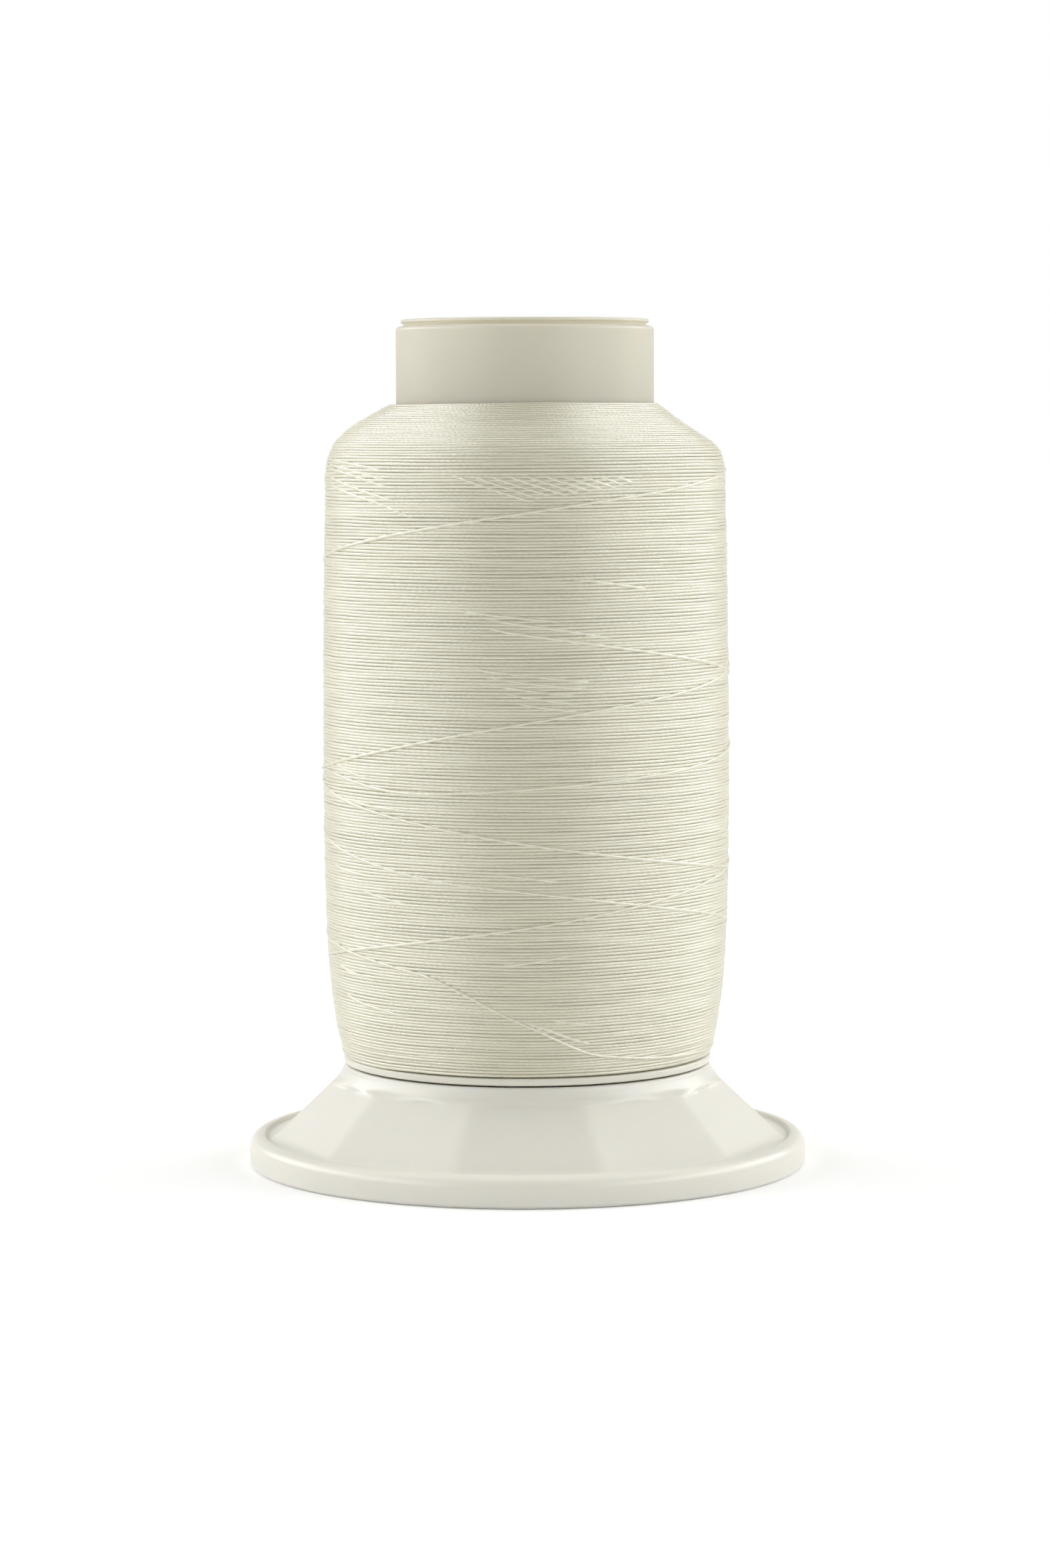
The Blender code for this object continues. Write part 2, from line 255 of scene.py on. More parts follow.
def select_level(height):
    """Selects the level ring of edges at a height."""
    select_edges(lambda a, b: abs(a.z - height) < NEAR and abs(b.z - height) < NEAR)


def pull_rings(radius, height, rings):
    """Pulls new rings out of the selected ring, which has this radius and height.

    Each new ring is (radius, height). Gives the last one.
    """
    for next_radius, next_height in rings:
        bpy.ops.mesh.extrude_edges_move(
            TRANSFORM_OT_translate={"value": (0, 0, next_height - height)})
        grow = next_radius / radius
        bpy.ops.transform.resize(value=(grow, grow, 1), center_override=(0, 0, 0))
        radius, height = next_radius, next_height
    return radius, height


def arc(centre, radius, start_degrees, end_degrees, steps):
    """Points (radius, height) on an arc round a centre; 0 degrees points outwards, 90 up."""
    points = []
    for step in range(steps + 1):
        angle = math.radians(start_degrees + (end_degrees - start_degrees) * step / steps)
        points.append((centre[0] + radius * math.cos(angle),
                       centre[1] + radius * math.sin(angle)))
    return points


def finish_piece(name, body, material, nodes, sharp_degrees=32):
    """Closes the edit, sets shading and material, and puts the piece on its body."""
    bpy.ops.mesh.select_all(action='SELECT')
    bpy.ops.mesh.remove_doubles(threshold=2 * NEAR)
    bpy.ops.mesh.normals_make_consistent(inside=False)
    bpy.ops.object.mode_set(mode='OBJECT')
    obj = bpy.context.object
    obj.name = name
    obj.data.name = name
    bpy.ops.object.shade_smooth_by_angle(angle=math.radians(sharp_degrees))
    obj.data.materials.append(material)
    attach(obj, body)
    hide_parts(*nodes)
    return obj


def add_ring(columns, radius, height):
    """Adds a ring of edges to the mesh in edit mode, or starts a mesh with one."""
    bpy.ops.mesh.primitive_circle_add(vertices=columns, radius=radius, location=(0, 0, height))


def pull_round_ring(last, radius, height, share=1.0):
    """Pulls a ring out of a panelled one: truly round, or that share of the way to it."""
    bpy.ops.mesh.extrude_edges_move(TRANSFORM_OT_translate={"value": (0, 0, height - last[1])})
    obj = bpy.context.edit_object
    mesh = bmesh.from_edit_mesh(obj.data)
    for vert in mesh.verts:
        if vert.select:
            vert.co.xy = vert.co.xy.lerp(vert.co.xy.normalized() * radius, share)
    bmesh.update_edit_mesh(obj.data)
    return radius, height


def bridge_levels(first, second, reach=1.0):
    """Joins two open rings, each the only open one at its height within a reach of the axis."""
    mesh = bmesh.from_edit_mesh(bpy.context.edit_object.data)
    bpy.ops.mesh.select_all(action='DESELECT')
    for edge in mesh.edges:
        corners = [vert.co for vert in edge.verts]
        edge.select = edge.is_boundary and any(
            all(abs(co.z - height) < NEAR and co.xy.length < reach for co in corners)
            for height in (first, second))
    mesh.select_flush_mode()
    bmesh.update_edit_mesh(bpy.context.edit_object.data)
    bpy.ops.mesh.bridge_edge_loops()


def add_panelled_band(size, bottom, top, low, high):
    """Adds one band of flat panels with rounded creases, open above and below."""
    crease_steps, cuts = 4, 11
    bpy.ops.mesh.primitive_cone_add(
        vertices=size.panels, radius1=bottom, radius2=top, depth=high - low,
        end_fill_type='NOTHING', location=(0, 0, (low + high) / 2))
    if bpy.context.mode != 'EDIT_MESH':
        bpy.ops.object.transform_apply(location=True, rotation=True, scale=True)
        bpy.ops.object.mode_set(mode='EDIT')

    def at_ends(a, b):
        return {round(a.z, 6), round(b.z, 6)} == {round(low, 6), round(high, 6)}

    select_edges(at_ends)
    bpy.ops.mesh.bevel(offset=size.crease, segments=crease_steps, profile=0.5,
                       affect='EDGES', clamp_overlap=False)
    # Cuts along the panels' own edges let them run smoothly into round rings.
    select_edges(lambda a, b: abs(a.z - b.z) < NEAR and (a - b).length > 3 * size.crease
                 and min(abs(a.z - low), abs(a.z - high)) < NEAR)
    bpy.ops.mesh.subdivide(number_cuts=cuts)


class SPOOL_OT_foot(bpy.types.Operator):
    """Model the flared, faceted foot with its rim, deck and snap socket"""
    bl_idname = "spool.foot"
    bl_label = "Snap Foot"

    def execute(self, context):
        size = context.scene.spool_foot
        skirt_low, skirt_high = 3.75 * MM, 11.6 * MM
        panel_bottom, panel_top = 4.05 * MM, 11.45 * MM
        wall_across, rounding = 2.6 * MM, 0.3 * MM
        rise = (size.skirt_bottom - size.skirt_top) / (skirt_high - skirt_low)

        def crease_radius(height):
            return size.skirt_top + rise * (skirt_high - height)

        select_none()
        # A margin of flat panel at both ends keeps the roundings' shading off the panels.
        margin = 0.35 * MM
        flat_low, flat_high = panel_bottom + margin, panel_top - margin
        add_panelled_band(size, crease_radius(flat_low), crease_radius(flat_high),
                          flat_low, flat_high)

        # Outwards from the panels: a small fillet, then the rounded rim and the standing ring.
        bead, corner = 1.7 * MM, 0.6 * MM
        bead_centre = (size.rim_radius - bead, size.rim_height - bead)
        ring_inside, ring_top = 34.9 * MM, 1.6 * MM
        select_level(flat_low)
        fillet = [(crease_radius(panel_bottom), panel_bottom),
                  (size.skirt_bottom - 0.02 * MM, 3.86 * MM),
                  (size.skirt_bottom + 0.2 * MM, 3.76 * MM)]
        last = pull_rings(crease_radius(flat_low), flat_low, fillet)
        last = pull_round_ring(last, size.skirt_bottom + 0.35 * MM, 3.78 * MM)
        last = pull_rings(*last, arc(bead_centre, bead, 100, 0, 12))
        last = pull_rings(*last, arc((size.rim_radius - corner, corner), corner, 0, -90, 9))
        pull_rings(*last, [(35.35 * MM, 0.0), (35.1 * MM, 0.06 * MM),
                           (ring_inside, 0.3 * MM), (ring_inside, ring_top)])

        # Upwards: soft collar, lip, thread groove and neck; then down the socket, round its
        # end and up again to the deck's underside.
        select_level(flat_high)
        last = pull_rings(crease_radius(flat_high), flat_high,
                          [(crease_radius(panel_top), panel_top)])
        # Radius and height in mm, and how far each ring is from panelled to truly round.
        for radius, height, share in ((25.85, 11.58, 0.12), (25.83, 11.75, 0.3),
                                      (25.8, 11.98, 0.6), (25.65, 12.25, 1.0)):
            last = pull_round_ring(last, radius * MM, height * MM, share)
        lip, lip_rounding, groove_floor = 13.8 * MM, 0.35 * MM, 12.95 * MM
        neck, neck_edge = 22.3 * MM, size.neck_top - rounding
        socket, recess, outside = 17.65 * MM, 18.65 * MM, 20.2 * MM
        socket_end, deck = 1.2 * MM, 10.9 * MM
        rings = [(25.47 * MM, 12.62 * MM), (25.25 * MM, 13.05 * MM)]
        rings += arc((24.7 * MM, lip - lip_rounding), lip_rounding, 0, 90, 4)
        rings += [(24.4 * MM, lip), (24.1 * MM, groove_floor + 0.05 * MM),
                  (23.9 * MM, groove_floor), (neck + 0.2 * MM, groove_floor),
                  (neck, groove_floor + 0.2 * MM)]
        rings += arc((neck - rounding, neck_edge), rounding, 0, 90, 3)
        rings += arc((socket + rounding, neck_edge), rounding, 90, 180, 3)
        rings += [(socket, 8.6 * MM), (recess, 8.4 * MM)]
        rings += arc((recess + rounding, socket_end + rounding), rounding, 180, 270, 3)
        rings += arc((outside - rounding, socket_end + rounding), rounding, 270, 360, 3)
        rings += arc((outside + rounding, deck - rounding), rounding, 180, 90, 3)
        pull_rings(*last, rings)

        # The panelled inside, joined to the deck above and to the standing ring below.
        inside_low, inside_high = 2.1 * MM, 10.7 * MM
        add_panelled_band(size, crease_radius(inside_low) - wall_across,
                          crease_radius(inside_high) - wall_across, inside_low, inside_high)
        bridge_levels(ring_top, inside_low)
        bridge_levels(deck, inside_high)
        plastic = moulded_plastic("white polypropylene", size.plastic, roughness=0.4,
                                  polish=0.18, clearness=0.0)
        finish_piece("foot", "foot", plastic, ["snap_foot"])
        return {'FINISHED'}


class SPOOL_OT_core(bpy.types.Operator):
    """Model the thin tube with its lip, flange and barbed snap fingers"""
    bl_idname = "spool.core"
    bl_label = "Tube Core"

    def execute(self, context):
        size = context.scene.spool_core
        tube, bore, top, bottom = size.tube_radius, size.bore_radius, size.top, size.bottom
        flange, flange_low, flange_high = size.flange_radius, 14.05 * MM, 15.05 * MM
        finger, barb = 17.35 * MM, 18.3 * MM
        lip, lip_groove = tube - 0.65 * MM, tube - 1.0 * MM

        fillet, edge = 0.4 * MM, 0.3 * MM
        rings = [(bore + 0.3 * MM, bottom), (finger - 0.2 * MM, bottom), (barb, 3.3 * MM),
                 (barb, 4.1 * MM), (finger, 4.6 * MM)]
        rings += arc((finger + fillet, flange_low - fillet), fillet, 180, 90, 4)
        rings += arc((flange - edge, flange_low + edge), edge, -90, 0, 4)
        rings += arc((flange - edge, flange_high - edge), edge, 0, 90, 4)
        rings += [(tube + 0.2 * MM, flange_high), (tube, flange_high + 0.2 * MM),
                  (tube, 40 * MM), (tube, 80 * MM)]
        # The rounded shoulder, the fine groove and the rounded lip above it.
        shoulder, lip_outside, lip_inside = 0.6 * MM, 0.28 * MM, 0.25 * MM
        rings += arc((tube - shoulder, top - 1.5 * MM), shoulder, 0, 75, 7)
        rings += [(lip_groove, top - 0.85 * MM), (lip_groove, top - 0.55 * MM)]
        rings += [(lip, top - 0.4 * MM)]
        rings += arc((lip - lip_outside, top - lip_outside), lip_outside, 0, 90, 5)
        rings += arc((bore + lip_inside, top - lip_inside), lip_inside, 90, 180, 5)
        rings += [(bore, 80 * MM), (bore, 40 * MM), (bore, 12 * MM)]

        select_none()
        columns = 144
        start = (bore, bottom + 0.3 * MM)
        add_ring(columns, *start)
        bpy.ops.object.transform_apply(location=True, rotation=True, scale=True)
        bpy.ops.object.mode_set(mode='EDIT')
        select_level(start[1])
        pull_rings(*start, rings)
        bridge_levels(start[1], rings[-1][1], bore + NEAR)
        plastic = moulded_plastic("ivory polypropylene", size.plastic, roughness=0.45,
                                  polish=0.4, clearness=0.35)
        core = finish_piece("core", "spool", plastic, ["spool_core"])
        self.cut_slots(core, bottom)
        return {'FINISHED'}

    @staticmethod
    def cut_slots(core, bottom):
        """Cuts four slots, which leave the snap fingers between them."""
        slot_width, slot_top, reach = 3.0 * MM, 10.0 * MM, 22 * MM
        bar_bottom = bottom - 2 * MM
        for degrees in (45, 135):
            select_none()
            bpy.ops.mesh.primitive_cube_add(size=1, location=(0, 0, (slot_top + bar_bottom) / 2))
            bar = bpy.context.object
            bar.scale = (2 * reach, slot_width, slot_top - bar_bottom)
            bar.rotation_euler.z = math.radians(degrees)
            bpy.ops.object.transform_apply(location=True, rotation=True, scale=True)
            select_none()
            core.select_set(True)
            bpy.context.view_layer.objects.active = core
            cut = core.modifiers.new("slots", 'BOOLEAN')
            cut.operation = 'DIFFERENCE'
            cut.object = bar
            bpy.ops.object.modifier_apply(modifier=cut.name)
            bpy.data.objects.remove(bar, do_unlink=True)


# ---- the thread ----

PACKAGE_LOW, PACKAGE_HIGH = 15.1 * MM, 103.8 * MM
SPARE_SPACE = 0.04 * MM  # between the wraps' outside and the package's outline


def barrel_radius(height):
    """Outside of the wound barrel: slightly crowned, and drawn in above the flange."""
    widest, middle = 27.75 * MM, 52 * MM
    crown = 0.6 * MM * ((height - middle) / (43 * MM)) ** 2
    tuck = 2.1 * MM * math.exp(-(height - PACKAGE_LOW) / (7.9 * MM))
    return widest - crown - tuck


def package_outline():
    """Outside of the package from the flange to the tube, as points (radius, height)."""
    barrel_top, corner_height = 94.6 * MM, 97.35 * MM
    barrel_rows, corner_rows, shoulder_rows = 60, 8, 6
    outline = []
    for row in range(barrel_rows + 1):
        height = PACKAGE_LOW + (barrel_top - PACKAGE_LOW) * row / barrel_rows
        outline.append(Vector((barrel_radius(height), height)))
    start = outline[-1]
    corner = Vector((start.x, corner_height))
    top = Vector((17.75 * MM, PACKAGE_HIGH))
    end = corner + (top - corner).normalized() * (corner_height - barrel_top)
    for row in range(1, corner_rows + 1):
        part = row / corner_rows
        outline.append(start.lerp(corner, part).lerp(corner.lerp(end, part), part))
    outline += [end.lerp(top, row / shoulder_rows) for row in range(1, shoulder_rows + 1)]
    return outline


def fullness(angle, height):
    """How much further out the soft shoulder stands: most on the left, least on the right."""
    most, middle, reach = 1.15 * MM, 100.6 * MM, 3.6 * MM
    level = max(0.0, 1 - ((height - middle) / reach) ** 2) ** 2
    side = 0.35 - 0.65 * math.cos(angle)
    return most * level * side


def inset(outline, depth):
    """Moves an outline inwards along its normals."""
    moved = []
    for index, point in enumerate(outline):
        along = outline[min(index + 1, len(outline) - 1)] - outline[max(index - 1, 0)]
        moved.append(point + Vector((-along.y, along.x)).normalized() * depth)
    return moved


def radius_at(outline, height):
    """Radius of an outline at a height."""
    for low, high in zip(outline, outline[1:]):
        if height <= high.y:
            return low.x + (high.x - low.x) * (height - low.y) / (high.y - low.y)
    return outline[-1].x


def even_spots(outline, spacing):
    """Points (radius, height) along an outline at an even spacing."""
    spots, walked = [outline[0]], 0.0
    for start, end in zip(outline, outline[1:]):
        step = (end - start).length
        while len(spots) * spacing <= walked + step:
            spots.append(start.lerp(end, (len(spots) * spacing - walked) / step))
        walked += step
    return spots


def on_spool(angle, radius, height):
    """The point at an angle round the spool's axis, a radius from it and a height."""
    return Vector((radius * math.cos(angle), radius * math.sin(angle), height))


def thread_piece(name, runs, diameter, sides, material, nodes=(), pinched=()):
    """Makes one piece of runs of thread, each a list of points.

    The first run is half as thick at the pinched points.
    """
    curve = bpy.data.curves.new(name, 'CURVE')
    curve.dimensions = '3D'
    curve.twist_mode = 'Z_UP'
    curve.bevel_depth = diameter / 2
    curve.bevel_resolution = (sides - 4) // 2
    curve.use_fill_caps = True
    for run in runs:
        spline = curve.splines.new('POLY')
        spline.points.add(len(run) - 1)
        for target, point in zip(spline.points, run):
            target.co = (*point, 1.0)
    for index in pinched:
        curve.splines[0].points[index].radius = 0.5
    obj = bpy.data.objects.new(name, curve)
    bpy.context.scene.collection.objects.link(obj)
    curve.materials.append(material)
    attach(obj, "spool")
    if nodes:
        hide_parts(*nodes)
    return obj


def package_wraps(size):
    """The long thread's route: tail in the groove, round the flange, up to the tube."""
    steps = 72
    step_angle = 2 * math.pi / steps
    outline = inset(package_outline(), size.diameter / 2 + SPARE_SPACE)
    # Degrees, radius and height in mm. The tail lies slack in the groove, comes out
    # between lip and flange, and climbs over the flange's edge to the first wrap.
    tail = [(0, 22.62, 13.2), (8, 23.0, 13.2), (18, 23.5, 13.2), (30, 23.9, 13.3),
            (42, 24.15, 13.6), (50, 24.55, 13.92), (58, 25.0, 13.93), (66, 25.36, 14.05),
            (75, 25.42, 14.4), (84, 25.40, 14.9), (94, 25.25, 15.22), (104, 25.05, 15.33)]
    start = math.radians(55)
    route = [on_spool(start + math.radians(degrees), radius * MM, height * MM)
             for degrees, radius, height in tail]
    first = start + math.radians(115)
    spots = even_spots(outline, size.pitch / steps)
    # Half a turn more would sink into the flange, and the last wrap ends at the back.
    lowest, spare = steps // 2, 53
    for step, spot in enumerate(spots[lowest:-spare]):
        angle = first + step * step_angle
        # Wraps stray together, in bands about 1.6 mm deep, and also each on its own. The
        # noise is read round a cylinder, so that it has no seam.
        band = on_spool(angle, 1.8, spot.y / (1.6 * MM))
        wrap = on_spool(angle, 3.2, step / steps * 1.37)
        lift = 0.5 * noise.noise(band) + 0.8 * noise.noise(wrap + Vector((9, 4, 2)))
        shift = 0.9 * noise.noise(band + Vector((5, 7, 3))) + 0.3 * noise.noise(wrap)
        radius = spot.x + size.waver * lift + fullness(angle, spot.y)
        route.append(on_spool(angle, radius, spot.y + size.waver * shift))
    return route


class Stroke:
    """One visible run of thread that crosses the wraps below it.

    Its spots are (degrees, height in mm) along the thread. Degrees run from the front,
    and rise to the right. Both ends sink under their neighbours. The lift, in mm, is how
    far it stands out from its seat.
    """

    def __init__(self, spots, lift):
        self.spots = spots
        self.lift = lift


def smooth_route(spots, step_degrees):
    """Evenly spaced (degrees, height) on a smooth line through the spots."""
    degrees = [spot[0] for spot in spots]
    heights = [spot[1] for spot in spots]
    slopes = []
    for index in range(len(spots)):
        before, after = max(index - 1, 0), min(index + 1, len(spots) - 1)
        slopes.append((heights[after] - heights[before]) / (degrees[after] - degrees[before]))
    route = []
    for index in range(len(spots) - 1):
        span = degrees[index + 1] - degrees[index]
        count = max(1, round(span / step_degrees))
        for step in range(count):
            t = step / count
            blend = (2 * t ** 3 - 3 * t ** 2 + 1, t ** 3 - 2 * t ** 2 + t,
                     -2 * t ** 3 + 3 * t ** 2, t ** 3 - t ** 2)
            height = (blend[0] * heights[index] + blend[1] * span * slopes[index]
                      + blend[2] * heights[index + 1] + blend[3] * span * slopes[index + 1])
            route.append((degrees[index] + t * span, height))
    return route + [(degrees[-1], heights[-1])]


def final_wraps():
    """The last layer's long open zigzag, read at each pass over the front."""
    rising = [(-250, 16.8), (-150, 24.2), (-74, 29.7), (0, 35.2), (70, 40.3), (286, 55.2),
              (360, 62.0), (432, 67.0), (646, 83.6), (720, 89.3), (770, 92.4)]
    top = [(810, 94.6), (860, 96.4), (905, 95.5), (985, 89.8)]
    falling = [(1066, 74.5), (1149, 68.5), (1440, 46.2), (1508, 41.6), (1767, 28.8),
               (1800, 22.2), (1822, 17.9)]
    low = [(1880, 16.4), (1950, 17.4), (2030, 24.4)]
    middle = [(150, 43.6), (220, 49.8), (262, 53.6), (286, 54.4), (323, 52.6), (360, 53.4),
              (432, 56.4), (560, 66.0)]
    lower = [(170, 55.0), (327, 41.6), (360, 39.9), (390, 37.9), (540, 26.4)]
    crest = [(96, 87.4), (130, 90.8), (165, 94.2), (195, 95.9), (220, 96.3), (250, 95.3)]
    return [Stroke(crest, 0.0), Stroke(lower, 0.0), Stroke(rising + top, 0.07),
            Stroke(falling + low, 0.05), Stroke(middle, 0.1)]


# Runs of earlier layers that show on the front, as (degrees, height in mm).
FRONT_RUNS = (
    # Coming round from the left under the shoulder.
    ((-84, 96.2), (-60, 95.6), (-38, 94.4)),
    ((-84, 95.6), (-60, 94.8), (-36, 92.9)),
    ((-84, 95.2), (-60, 94.2), (-37, 92.0)),
    ((-84, 94.4), (-59, 92.6), (-34, 90.2)),
    ((-80, 93.2), (-59, 91.6), (-42, 90.0), (-28, 87.6)),
    # Beside the long fall on the upper half.
    ((-24, 76.8), (0, 75.6), (16, 74.8)),
    ((-16, 75.9), (-1, 74.8), (11, 74.0), (30, 72.3)),
    ((8, 81.0), (20, 80.3), (40, 78.9)),
    # In the corner that the long wraps make at the left, half way up.
    ((-76, 57.2), (-61, 54.9), (-44, 53.9)),
    ((-66, 51.3), (-49, 50.5), (-30, 50.2)),
    # Lower down.
    ((-76, 42.3), (-61, 41.4), (-42, 41.0)),
    ((-14, 42.4), (0, 41.8), (16, 40.8)),
    ((-60, 39.7), (-44, 38.4), (-30, 37.6)),
    ((-14, 29.8), (0, 30.6), (18, 32.0)),
    ((-76, 29.0), (-61, 27.8), (-45, 27.2)),
    ((-72, 25.4), (-58, 23.9), (-46, 23.3), (-30, 22.2)),
    ((-8, 24.0), (5, 21.8), (14, 20.2), (26, 18.8)),
    ((0, 23.8), (10, 22.7), (24, 21.9)),
)


def front_fans():
    """Runs of earlier layers that show on the front where the last turns left gaps."""
    strokes = [Stroke(spots, -0.03) for spots in FRONT_RUNS]
    # Parallel runs fall from the shoulder's edge and go under the wrap that rises below.
    # Fall and rise are in mm for each degree, and the wrap crosses the front at its height.
    edge, fall, rise, crossing = 95.0, 0.155, 0.075, 89.2
    for start in range(-26, 24, 5):
        end = (edge - crossing + fall * start) / (fall + rise)
        depth = fall * (end - start)
        strokes.append(Stroke([(start, edge), ((start + end) / 2, edge - depth / 2),
                               (end, edge - depth)], -0.01))
    # Gentler ones fall to the wrap that rises across the middle.
    highest, apart = 68.2, 0.95
    for row in range(5):
        height = highest - apart * row
        strokes.append(Stroke([(-20 + 3 * row, height + 1.1), (0, height),
                               (24 - row, height - 1.3)], -0.05))
    return strokes


def hidden_side_fans(seed):
    """More runs of earlier layers round the back, in loose bunches like those on the front."""
    dice = random.Random(seed)
    strokes = []
    for _ in range(20):
        centre = dice.uniform(95, 265)
        height = dice.uniform(24, 90)
        strokes += bunch(dice, centre, height, dice.randint(2, 5), dice.choice((-1, -1, 1)))
    # Where the machine turned back under the shoulder.
    edge = 95.2
    for start in range(96, 260, 9):
        fall = dice.uniform(3.0, 5.0)
        strokes.append(Stroke([(start, edge), (start + 12, edge - 0.4 * fall),
                               (start + 27, edge - fall)], -0.02))
    return strokes


def bunch(dice, centre, height, count, lean):
    """A few runs side by side, about 0.9 mm apart, all leaning one way."""
    slope = lean * dice.uniform(0.05, 0.085)
    reach = dice.uniform(22, 44)
    strokes = []
    for row in range(count):
        start = (centre - reach + row * 3, height - reach * slope - row * 0.95)
        end_degrees = centre + reach + dice.uniform(-8, 8)
        end = (end_degrees, height + reach * slope - row * 0.85)
        strokes.append(Stroke([start, (centre, height - row * 0.9), end],
                              dice.uniform(-0.08, 0.0)))
    return strokes


def lay_strokes(strokes, diameter, outline):
    """Turns strokes into points on the package. Later ones ride over those laid before."""
    step_degrees = 3.0
    end_steps, end_depth = 3, 1.1 * diameter
    crossing_reach, touching_reach, climb = 1.6 * diameter, 1.8 * diameter, 0.4 * diameter
    laid = []
    for stroke in strokes:
        spots = smooth_route(stroke.spots, step_degrees)
        earlier = kdtree.KDTree(len(laid))
        for index, point in enumerate(laid):
            earlier.insert(point, index)
        earlier.balance()
        run = []
        for index, (degrees, height) in enumerate(spots):
            angle = math.radians(degrees - 90)
            seat = radius_at(outline, height * MM) + fullness(angle, height * MM)
            shown = min(1.0, index / end_steps, (len(spots) - 1 - index) / end_steps)
            radius = seat + stroke.lift * MM - (1 - shown) * end_depth
            point = on_spool(angle, radius, height * MM)
            crossed = [other for other, _, _ in earlier.find_range(point, crossing_reach)]
            if shown == 1.0 and crossed:
                over = max(other.xy.length for other in crossed) + climb
                nearest = min((other - point).length for other in crossed)
                share = max(0.0, 1 - nearest / touching_reach)
                radius += max(0.0, over - radius) * share
                point = on_spool(angle, radius, height * MM)
            run.append(point)
        laid += run
        yield run


class SPOOL_OT_package(bpy.types.Operator):
    """Wind the thread: a bed of earlier layers, and one long thread turn by turn"""
    bl_idname = "spool.package"
    bl_label = "Thread Package"

    def execute(self, context):
        size = context.scene.spool_thread
        thread = polyester_thread("twisted polyester", size.cream)
        # The bed shows between the wraps, so it lies just below their middles.
        outline = inset(package_outline(), size.diameter * 0.62 + SPARE_SPACE)
        inner = context.scene.spool_core.tube_radius + 0.05 * MM
        low, high = PACKAGE_LOW + 0.05 * MM, PACKAGE_HIGH - 0.3 * MM
        corner, columns = 0.2 * MM, 120
        rings = [(outline[0].x - 0.3 * MM, low)]
        rings += [(spot.x, spot.y) for spot in outline if low + corner < spot.y < high - corner]
        rings += [(inner, rings[-1][1] + corner)]
        select_none()
        add_ring(columns, inner, low)
        bpy.ops.object.transform_apply(location=True, rotation=True, scale=True)
        bpy.ops.object.mode_set(mode='EDIT')
        select_level(low)
        pull_rings(inner, low, rings)
        bridge_levels(low, rings[-1][1], inner + NEAR)
        bed = finish_piece("thread_bed", "spool", thread, ["thread_package"], 60)
        for vert in bed.data.vertices:
            if vert.co.xy.length > inner + corner:
                angle = math.atan2(vert.co.y, vert.co.x)
                vert.co.xy += vert.co.xy.normalized() * fullness(angle, vert.co.z)
        # The closed slit pinches the tail.
        thread_piece("wound_thread", [package_wraps(size)], size.diameter, 6, thread,
                     ["thread_winding"], pinched=(5, 6))
        # Crossing runs stand a little proud of the wraps, and ride over each other.
        seat = inset(package_outline(), 0.22 * MM)
        strokes = hidden_side_fans(seed=4) + front_fans() + final_wraps()
        runs = list(lay_strokes(strokes, size.diameter, seat))
        thread_piece("crossing_thread", runs, size.diameter, 8, thread)
        return {'FINISHED'}


# ---- studio ----

def pale_floor():
    """White paper that keeps the spool's shadow near it, and runs out into pure white."""
    material, tree, surface = new_material("white paper")
    place = add_node(tree, "ShaderNodeTexCoord").outputs["Object"]
    away = add_node(tree, "ShaderNodeVectorMath", {0: place}, operation='LENGTH')
    shadow_radius, white_radius = 0.06, 0.22
    whiter = add_node(tree, "ShaderNodeMapRange", {
        0: away.outputs["Value"], 1: shadow_radius, 2: white_radius, 3: 0.12, 4: 1.0})
    seen = add_node(tree, "ShaderNodeLightPath").outputs["Is Camera Ray"]
    lit = add_node(tree, "ShaderNodeMath", {0: seen, 1: whiter.outputs[0]},
                   operation='MULTIPLY')
    shader = add_node(tree, "ShaderNodeBsdfPrincipled", {
        "Base Color": (0.9, 0.9, 0.9, 1), "Roughness": 0.9, "Specular IOR Level": 0.0,
        "Emission Color": (1, 1, 1, 1), "Emission Strength": lit.outputs[0]})
    tree.links.new(shader.outputs[0], surface)
    return material


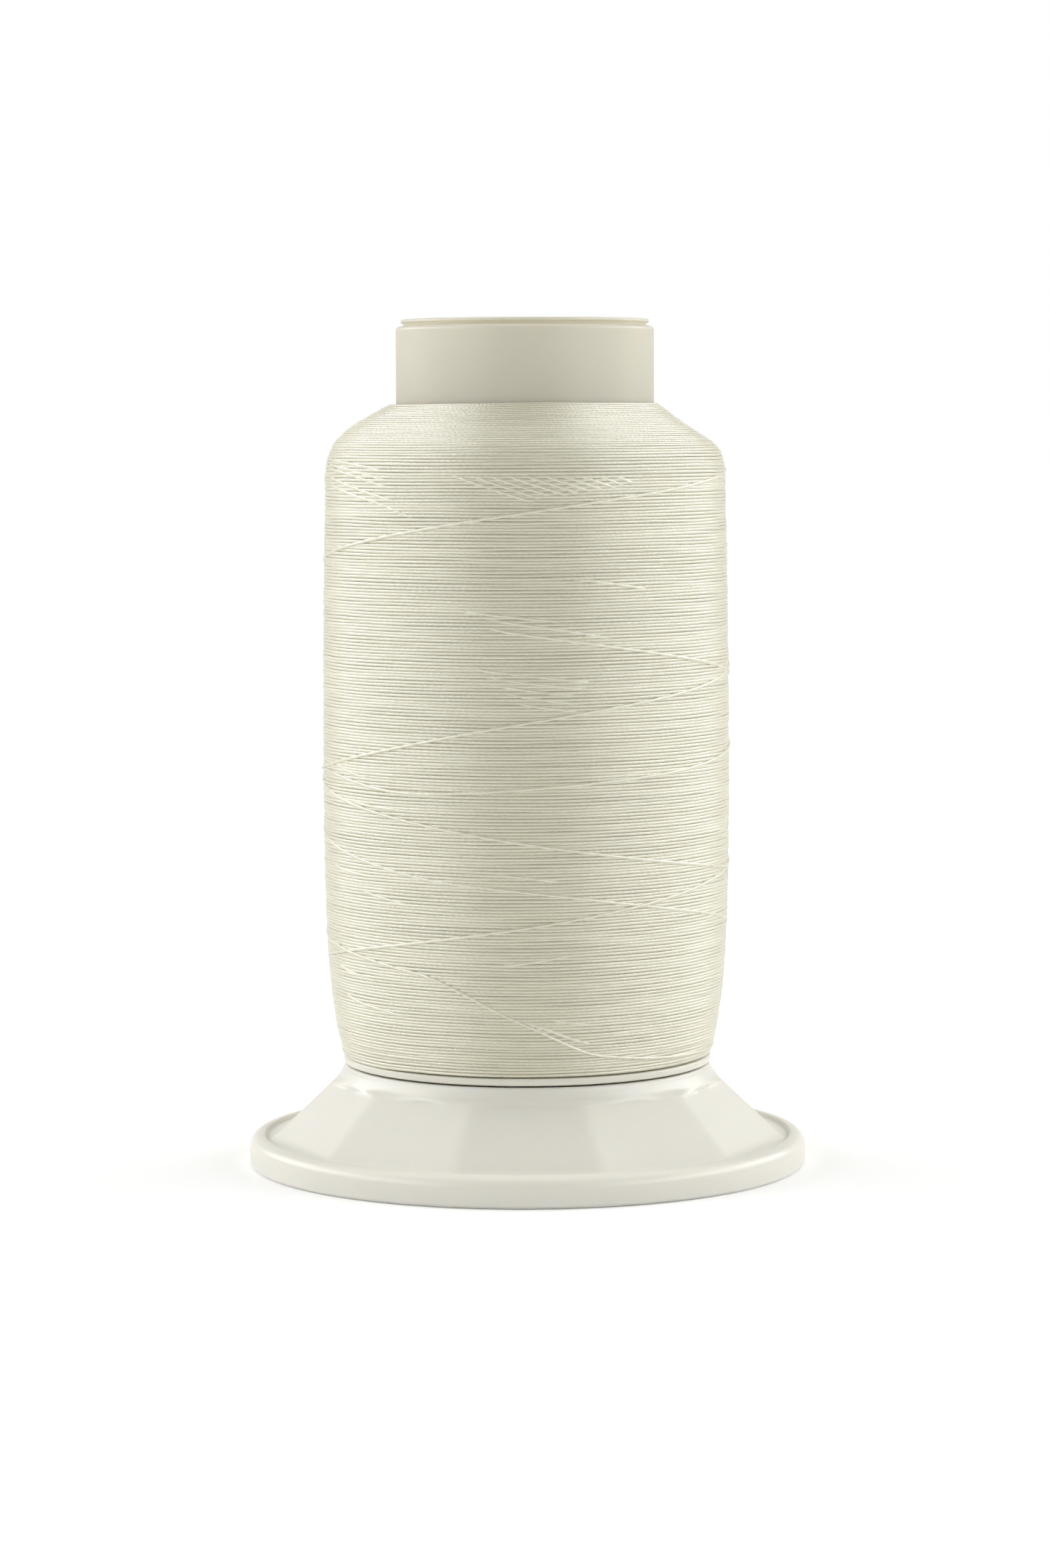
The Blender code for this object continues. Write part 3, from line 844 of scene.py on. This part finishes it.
class SPOOL_OT_studio(bpy.types.Operator):
    """Set the camera, the pale floor, the softboxes and the room's light"""
    bl_idname = "spool.studio"
    bl_label = "Studio"

    def execute(self, context):
        setting = context.scene.spool_studio
        select_none()
        bpy.ops.mesh.primitive_plane_add(size=12)
        floor = context.object
        floor.name = "floor"
        floor.data.materials.append(pale_floor())

        # Long softboxes stand at both sides. The top one is a little behind the spool,
        # where the thread's shoulder mirrors it.
        for name, side in (("left_softbox", -1.0), ("right_softbox", 1.0)):
            self.add_softbox(name, place=(side, -0.10, 0.55), target=(0, -0.06, 0.06),
                             width=2.6, height=0.45, power=setting.sides)
        self.add_softbox("top_softbox", place=(0, 0.17, 0.74), target=(0, 0, 0.06),
                         width=1.1, height=0.5, power=setting.top)

        camera = bpy.data.cameras.new("camera")
        camera.lens = setting.lens
        camera.clip_start = 0.01
        view = bpy.data.objects.new("camera", camera)
        view.location = (0.0, -setting.distance, setting.height)
        view.rotation_euler = (math.pi / 2 - setting.tilt, setting.roll, 0)
        context.scene.collection.objects.link(view)
        context.scene.camera = view
        self.add_room(context.scene, setting.ambient)
        context.scene.view_settings.view_transform = 'Standard'
        return {'FINISHED'}

    @staticmethod
    def add_softbox(name, place, target, width, height, power):
        """Adds a soft lamp that faces its target and stays out of the picture."""
        lamp = bpy.data.lights.new(name, 'AREA')
        lamp.shape = 'RECTANGLE'
        lamp.size, lamp.size_y = width, height
        lamp.energy = power
        obj = bpy.data.objects.new(name, lamp)
        obj.location = place
        aim = Vector(target) - Vector(place)
        obj.rotation_euler = aim.to_track_quat('-Z', 'Y').to_euler()
        obj.visible_camera = False
        bpy.context.scene.collection.objects.link(obj)

    @staticmethod
    def add_room(scene, ambient):
        """A dim room that looks white from the camera, with a white far wall in reflections."""
        world = bpy.data.worlds.new("room")
        world.use_nodes = True
        tree = world.node_tree
        tree.nodes.clear()
        path = add_node(tree, "ShaderNodeLightPath").outputs
        direction = add_node(tree, "ShaderNodeTexCoord").outputs["Generated"]
        backwards = add_node(tree, "ShaderNodeSeparateXYZ", {0: direction}).outputs["Y"]
        wall_edge, wall_middle = 0.75, 1.0
        far_wall = add_node(tree, "ShaderNodeMapRange",
                            {0: backwards, 1: wall_edge, 2: wall_middle})
        mirrored = add_node(tree, "ShaderNodeMath",
                            {0: path["Is Glossy Ray"], 1: far_wall.outputs[0]},
                            operation='MULTIPLY')
        direct = add_node(tree, "ShaderNodeMath",
                          {0: path["Is Camera Ray"], 1: path["Is Transmission Ray"]},
                          operation='MAXIMUM')
        seen = add_node(tree, "ShaderNodeMath",
                        {0: direct.outputs[0], 1: mirrored.outputs[0]}, operation='MAXIMUM')
        light = add_node(tree, "ShaderNodeBackground",
                         {"Color": (1, 1, 1, 1), "Strength": ambient})
        white = add_node(tree, "ShaderNodeBackground", {"Color": (1, 1, 1, 1), "Strength": 1.0})
        mixed = add_node(tree, "ShaderNodeMixShader",
                         {0: seen.outputs[0], 1: light.outputs[0], 2: white.outputs[0]})
        add_node(tree, "ShaderNodeOutputWorld", {"Surface": mixed.outputs[0]})
        scene.world = world


class SPOOL_PT_panel(bpy.types.Panel):
    """The spool's pieces, with the sizes and colours that each one uses"""
    bl_idname = "SPOOL_PT_panel"
    bl_label = "Snap Spool"
    bl_space_type = 'VIEW_3D'
    bl_region_type = 'UI'
    bl_category = "Spool"

    def draw(self, context):
        for operator, settings, _ in STEPS:
            box = self.layout.box()
            group = getattr(context.scene, settings)
            for name in group.__annotations__:
                box.prop(group, name)
            box.operator(operator.bl_idname)


# Each step's operator, the name of its settings on the scene, and their class.
STEPS = (
    (SPOOL_OT_studio, "spool_studio", StudioSettings),
    (SPOOL_OT_foot, "spool_foot", FootSettings),
    (SPOOL_OT_core, "spool_core", CoreSettings),
    (SPOOL_OT_package, "spool_thread", ThreadSettings),
)
CLASSES = (*(group for _, _, group in STEPS), *(operator for operator, _, _ in STEPS),
           SPOOL_PT_panel)


def register():
    for cls in CLASSES:
        bpy.utils.register_class(cls)
    for _, name, group in STEPS:
        setattr(bpy.types.Scene, name, PointerProperty(type=group))


def unregister():
    for _, name, _ in STEPS:
        delattr(bpy.types.Scene, name)
    for cls in reversed(CLASSES):
        bpy.utils.unregister_class(cls)


def main():
    register()
    bpy.ops.spool.studio()
    bpy.ops.spool.foot()
    bpy.ops.spool.core()
    bpy.ops.spool.package()


if __name__ == "__main__":
    main()
